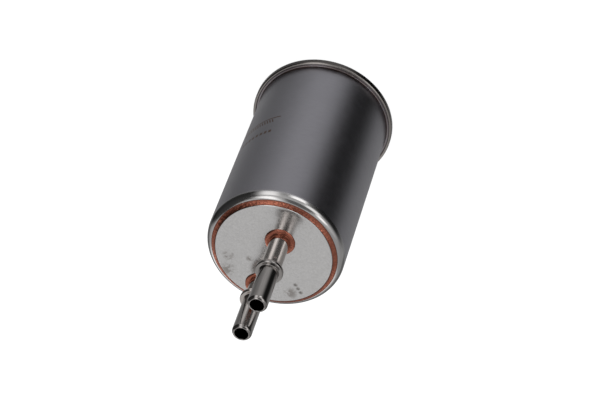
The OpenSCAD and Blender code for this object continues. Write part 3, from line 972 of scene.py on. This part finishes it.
def make_tube(name, at, node):
    low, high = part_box(node)
    tip = high.z
    bead_low = tip - BEAD_TO_TIP - BEAD_HALF
    bead_high = tip - BEAD_TO_TIP + BEAD_HALF
    # The nose is an arc that reaches the edge of the bore exactly at the tip
    nose_at = TUBE_R - NOSE_R
    lip = BORE_R + BORE_EDGE
    nose_turn = math.degrees(math.acos((lip - nose_at) / NOSE_R))
    nose_low = tip - NOSE_R * math.sin(math.radians(nose_turn))
    outline = [(BORE_R, low.z), (TUBE_R, low.z)]
    outline += straight(TUBE_R, low.z, bead_low - BEAD_FOOT, 10)
    outline += arc((TUBE_R + BEAD_FOOT, bead_low - BEAD_FOOT), BEAD_FOOT, 180, 90, 4)
    outline += arc((BEAD_R - BEAD_ROUND, bead_low + BEAD_ROUND), BEAD_ROUND, 270, 360, 7)
    outline += arc((BEAD_R - BEAD_ROUND, bead_high - BEAD_ROUND), BEAD_ROUND, 0, 90, 7)
    outline += arc((TUBE_R + BEAD_FOOT, bead_high + BEAD_FOOT), BEAD_FOOT, 270, 180, 4)
    outline += straight(TUBE_R, bead_high + BEAD_FOOT, nose_low, 12)
    outline += arc((nose_at, nose_low), NOSE_R, 0, nose_turn, 14)
    outline += arc((lip, tip - BORE_EDGE), BORE_EDGE, 90, 180, 4)[1:]
    outline += straight(BORE_R, tip - BORE_EDGE, low.z, 6)
    piece = lathe(name, outline, axis=at, steps=144)
    dress(piece, "tube_steel", "can", node)


make_tube("long_tube", TUBES["outlet"], "outlet_tube")
make_tube("short_tube", TUBES["inlet"], "inlet_tube")

# %% [markdown]
# ### The rolled cover
# The cover is one sheet from the pad in its middle, over the chuck wall, round the flange and
# back in to the curl. The seaming rolls pass round it several times and leave the curl a few
# micrometres wavy, which shows as a flicker in its bright edge.

# %% End cover
# The sheet, the rounds of the rolled edge from top to foot, and the curl's inner edge
COVER_SHEET = 0.7 * MM
RIM_ROUND = 0.75 * MM
RIM_FOOT_ROUND = 0.18 * MM
CURL_EDGE = 0.42 * MM
CURL_IN_R = BODY_R + 0.9 * MM
# The flat panel, the pad pressed in its middle, and the foot of the chuck wall
PANEL_Z = 3.1 * MM
PAD_R = 14.65 * MM
PAD_STEP = 0.7 * MM
PAD_BEND = 0.35 * MM
CHUCK_EDGE = 0.27 * MM
# Up to this height the rim stays true, because the filter stands on it
RESTING_BAND = 0.1 * MM
RIM_WAVE = 0.003 * MM


def make_cover():
    t = COVER_SHEET
    rim_r = widest("end_cover")
    rim_h = FLANGE_Z + SHEET + t
    wall = BODY_R - SHEET
    chuck = wall - t
    pad_low = PANEL_Z - PAD_STEP
    outline = [(0, pad_low), (PAD_R / 2, pad_low)]
    outline += arc((PAD_R + t - PAD_BEND, pad_low + PAD_BEND), PAD_BEND, 270, 360, 5)
    outline += [(PAD_R + t, PANEL_Z), (chuck - 3 * t, PANEL_Z)]
    outline += arc((chuck - t, PANEL_Z - t), t, 90, 0, 8)
    outline += arc((chuck + CHUCK_EDGE, CHUCK_EDGE), CHUCK_EDGE, 180, 270, 5)
    outline += arc((rim_r - RIM_FOOT_ROUND, RIM_FOOT_ROUND), RIM_FOOT_ROUND, 270, 360, 8)
    outline += arc((rim_r - RIM_ROUND, rim_h - RIM_ROUND), RIM_ROUND, 0, 90, 12)
    outline += arc((CURL_IN_R + CURL_EDGE, rim_h - CURL_EDGE), CURL_EDGE, 90, 180, 7)
    outline += [(CURL_IN_R, rim_h - t), (rim_r - t, rim_h - t), (rim_r - t, t), (wall, t)]
    outline += arc((wall - 2 * t, PANEL_Z - t), 2 * t, 0, 90, 8)
    outline += [(PAD_R, PANEL_Z + t), (PAD_R, pad_low + t), (0, pad_low + t)]
    cover = lathe("rolled_cover", outline, steps=288, closed=False)

    def on_curl(radius, height):
        return radius > CURL_IN_R and height > RESTING_BAND

    waver(cover, on_curl, RIM_WAVE, waves_across=190, waves_up=100)
    dress(cover, "rim_steel", "can", "end_cover")


make_cover()

# %% [markdown]
# ### The spring
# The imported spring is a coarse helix. Here the same wire is swept finer. Its last turn at each end
# lies wire on wire, and the turns between climb freely. It stands between the cover and the
# element, so it is squashed by just as much as the element can move.

# %% Spring
SPRING_R = 10 * MM
WIRE_R = 0.65 * MM
OPEN_TURNS = 2.5
WIRE_SIDES = 14
STEPS_PER_TURN = 72


def make_spring():
    low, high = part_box("support_spring")
    height = high.z - low.z
    turns = OPEN_TURNS + 2
    wire = 2 * WIRE_R
    rise = height - 3 * wire
    form = bmesh.new()
    rings = []
    for i in range(int(turns * STEPS_PER_TURN) + 1):
        turn = i / STEPS_PER_TURN
        closed_share = min(turn, 1) + max(turn - turns + 1, 0)
        open_share = min(max(turn - 1, 0), OPEN_TURNS) / OPEN_TURNS
        middle = low.z + WIRE_R + wire * closed_share + rise * open_share
        around = 2 * math.pi * turn
        ring = []
        for k in range(WIRE_SIDES):
            side = 2 * math.pi * k / WIRE_SIDES
            radius = SPRING_R + WIRE_R * math.cos(side)
            height_here = middle + WIRE_R * math.sin(side)
            there = (radius * math.cos(around), radius * math.sin(around), height_here)
            ring.append(form.verts.new(there))
        rings.append(ring)
    for lower, upper in zip(rings, rings[1:]):
        for k in range(WIRE_SIDES):
            j = (k + 1) % WIRE_SIDES
            form.faces.new((lower[k], lower[j], upper[j], upper[k]))
    form.faces.new(rings[0])
    form.faces.new(rings[-1])
    bmesh.ops.recalc_face_normals(form, faces=form.faces)
    spring = finish_mesh("coil_spring", form)
    dress(spring, "spring_steel", "can", "support_spring")
    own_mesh(spring)


make_spring()
